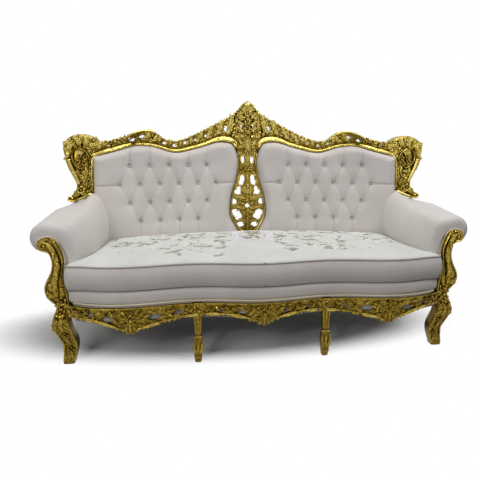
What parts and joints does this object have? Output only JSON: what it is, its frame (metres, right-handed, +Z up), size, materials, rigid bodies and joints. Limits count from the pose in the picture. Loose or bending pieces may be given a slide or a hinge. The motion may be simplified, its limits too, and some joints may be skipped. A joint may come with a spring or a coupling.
{
  "type": "tufted sofa",
  "caption": "Serpentine-front sofa with a carved gilt frame, pierced crest, buttoned back panels, rolled arms and a loose bench cushion that lifts off.",
  "frame": {"origin": "on the floor under the middle of the sofa's outer box", "axes": "+X along the seat to the right as seen from the front, +Y from the front to the back, +Z up"},
  "size_m": [2.11, 0.8923, 1.255],
  "materials": {
    "gilt": "carved hardwood, burnished gold leaf",
    "hardwood": "planed beech, unfinished",
    "plain_cloth": "off-white woven cover over wadding",
    "brocade": "off-white brocade with floral sprays over wadding",
    "trim": "twisted cord and gimp",
    "foam": "open-cell foam",
    "jute": "woven jute",
    "lining": "thin black lining cloth",
    "crystal": "faceted and foil-backed",
    "steel": "plain"
  },
  "bodies": {
    "frame": {"apron_shells": "gilt", "arm_pad_left": "plain_cloth", "arm_pad_right": "plain_cloth", "arm_post_left": "gilt", "arm_post_right": "gilt", "arm_rail_left": "hardwood", "arm_rail_right": "hardwood", "back_board_left": "hardwood", "back_board_right": "hardwood", "back_cover_left": "plain_cloth", "back_cover_right": "plain_cloth", "back_pad_left": "plain_cloth", "back_pad_right": "plain_cloth", "back_sill": "hardwood", "block_screws": "steel", "corner_blocks": "hardwood", "corner_leg_left": "gilt", "corner_leg_right": "gilt", "crest_cartouche": "gilt", "crest_rail_left": "gilt", "crest_rail_right": "gilt", "cross_rail_left": "hardwood", "cross_rail_right": "hardwood", "deck_pad": "plain_cloth", "dust_cover": "lining", "ear_left": "gilt", "ear_right": "gilt", "foot_glides": "steel", "frame_dowels": "hardwood", "front_apron_left": "gilt", "front_apron_middle": "gilt", "front_apron_right": "gilt", "front_gimp": "trim", "front_rail": "hardwood", "middle_leg_left": "gilt", "middle_leg_right": "gilt", "rear_middle_leg_left": "gilt", "rear_middle_leg_right": "gilt", "rear_post_left": "gilt", "rear_post_right": "gilt", "rear_rail": "hardwood", "seat_hessian": "jute", "seat_webbing": "jute", "side_apron_left": "gilt", "side_apron_right": "gilt", "side_rail_left": "hardwood", "side_rail_right": "hardwood", "splat_rim": "gilt", "splat_spray": "gilt", "tuft_buttons_left": "crystal", "tuft_buttons_right": "crystal"},
    "seat_cushion": {"cushion_core": "foam", "cushion_cover": "brocade", "cushion_welt_lower": "trim", "cushion_welt_upper": "trim"}
  },
  "joints": [
    {"name": "cushion_lift", "type": "slide", "parent": "frame", "child": "seat_cushion", "axis": [0, 0, 1], "range_m": [0, 0.4]}
  ]
}
